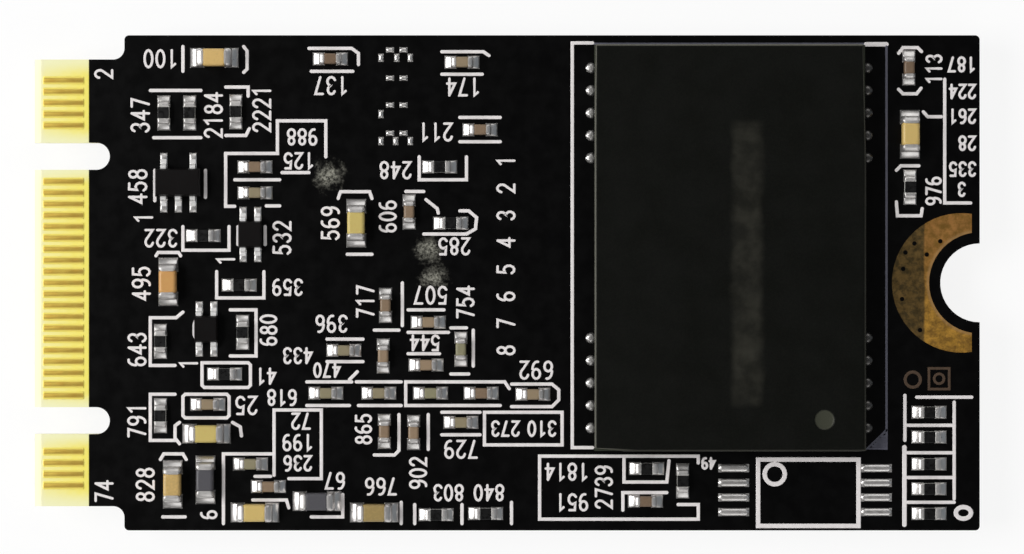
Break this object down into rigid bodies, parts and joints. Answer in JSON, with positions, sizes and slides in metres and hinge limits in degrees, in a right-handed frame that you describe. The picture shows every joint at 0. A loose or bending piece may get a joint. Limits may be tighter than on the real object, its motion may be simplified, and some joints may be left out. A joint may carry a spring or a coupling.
{
  "type": "gumstick solid state drive",
  "caption": "Slim keyed plug-in storage card with edge contacts, flash memory packages on both faces and a half-round screw notch.",
  "frame": {"origin": "middle of the card's outline, on the plane of the lower packages that it lies on", "axes": "+X from the contact edge to the screw end, +Y across the card, +Z out of the face with the even contacts"},
  "size_m": [0.042, 0.022, 0.0032],
  "materials": {
    "laminate": "pale yellow-green glass-fibre laminate, sawn edges",
    "solder_mask": "semi-gloss black lacquer",
    "gold_plate": "thin gold plate on copper",
    "solder": "bright melted solder",
    "tin_plate": "matte tin plate",
    "package_mould": "fine-grained black moulding compound",
    "package_carrier": "dark green laminate, sawn edges",
    "ochre_ceramic": "fired ceramic, tumbled edges",
    "brown_ceramic": "fired ceramic, tumbled edges",
    "white_ceramic": "fired alumina",
    "black_glaze": "printed glass coat",
    "grey_ferrite": "fired ferrite",
    "crystal_lid": "seam-welded metal lid",
    "chip_mould": "black moulding compound"
  },
  "bodies": {
    "root": {"circuit_board": "laminate", "front_solder_mask": "solder_mask", "back_solder_mask": "solder_mask", "front_contacts": "gold_plate", "back_contacts": "gold_plate", "front_ground_pad": "gold_plate", "back_ground_pad": "gold_plate", "front_lands": "solder", "back_lands": "solder", "front_flash_cap": "package_mould", "front_flash_carrier": "package_carrier", "front_flash_balls": "solder", "back_flash_cap": "package_mould", "back_flash_carrier": "package_carrier", "back_flash_balls": "solder", "controller_cap": "package_mould", "controller_carrier": "package_carrier", "controller_balls": "solder", "front_large_capacitor_bodies": "ochre_ceramic", "front_large_capacitor_ends": "tin_plate", "front_small_capacitor_bodies": "brown_ceramic", "front_small_capacitor_ends": "tin_plate", "front_resistor_slabs": "white_ceramic", "front_resistor_coats": "black_glaze", "front_resistor_ends": "tin_plate", "ferrite_bead_bodies": "grey_ferrite", "ferrite_bead_ends": "tin_plate", "supply_chip_body": "chip_mould", "supply_chip_leads": "tin_plate", "gate_chip_bodies": "chip_mould", "gate_chip_leads": "tin_plate", "back_large_capacitor_bodies": "ochre_ceramic", "back_large_capacitor_ends": "tin_plate", "back_small_capacitor_bodies": "brown_ceramic", "back_small_capacitor_ends": "tin_plate", "back_resistor_slabs": "white_ceramic", "back_resistor_coats": "black_glaze", "back_resistor_ends": "tin_plate", "converter_chip_body": "chip_mould", "converter_chip_leads": "tin_plate", "inductor_core": "grey_ferrite", "inductor_ends": "tin_plate", "crystal_base": "white_ceramic", "crystal_lid": "crystal_lid"}
  },
  "joints": []
}
